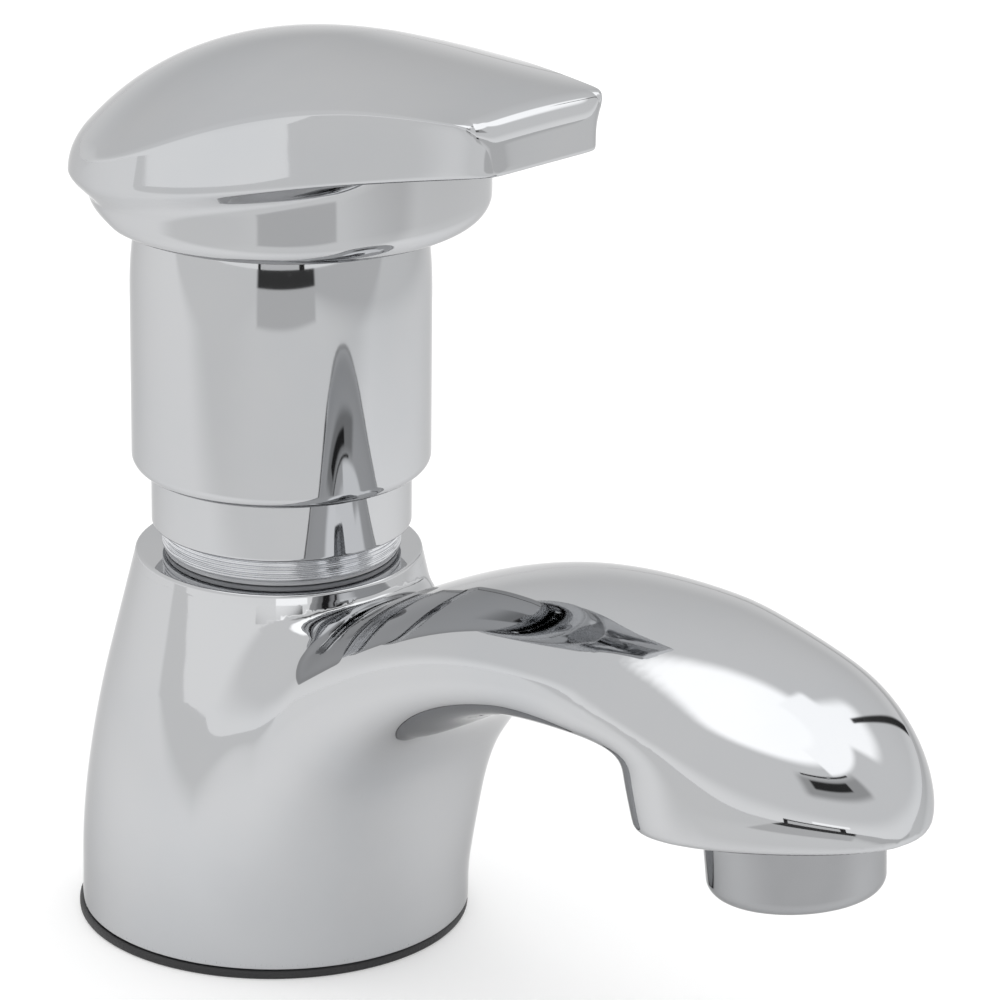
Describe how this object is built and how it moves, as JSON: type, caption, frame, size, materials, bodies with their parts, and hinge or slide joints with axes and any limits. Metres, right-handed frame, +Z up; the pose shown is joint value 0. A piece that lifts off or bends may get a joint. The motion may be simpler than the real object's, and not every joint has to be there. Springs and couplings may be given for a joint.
{
  "type": "push timed tap",
  "caption": "Chrome deck tap with an arched spout and a paddle handle that is pushed down on a sprung, metered valve and rises by itself to close the water.",
  "frame": {"origin": "on the valve axis at the deck face, under the base gasket", "axes": "+Z up along the valve axis, +X along the spout towards the outlet, +Y to the spout's left"},
  "size_m": [0.1471, 0.0594, 0.18],
  "materials": {
    "chrome": "polished chrome plate on cast brass",
    "turned_chrome": "turned and plated, with fine lathe lines",
    "brass": "plain machined brass",
    "steel": "plain stainless steel",
    "rubber": "black moulded rubber",
    "plastic": "off-white moulded acetal"
  },
  "bodies": {
    "tap": {"body": "chrome", "base_gasket": "rubber", "inlet_shank": "brass", "shank_washer": "steel", "locknut": "brass", "inlet_screen": "plastic", "valve_seat": "brass", "cartridge": "plastic", "lower_o_ring": "rubber", "upper_o_ring": "rubber", "bonnet": "turned_chrome", "bonnet_gasket": "plastic", "guide_collar": "chrome", "stem_bush": "plastic", "stem_seal": "rubber", "nozzle": "chrome", "nozzle_gasket": "rubber", "flow_regulator": "plastic"},
    "plunger": {"handle": "chrome", "set_screw": "steel", "sleeve": "chrome", "stem": "steel", "spring_retainer": "steel", "retainer_clip": "steel", "return_spring": "steel", "piston": "plastic", "piston_seal": "rubber", "seat_washer": "rubber", "washer_plate": "brass", "washer_nut": "brass"}
  },
  "joints": [
    {"name": "push", "type": "slide", "parent": "tap", "child": "plunger", "axis": [0, 0, -1], "range_m": [0, 0.007], "stiffness_N_per_m": 600, "springref_m": -0.02, "deforming": ["return_spring"]}
  ]
}
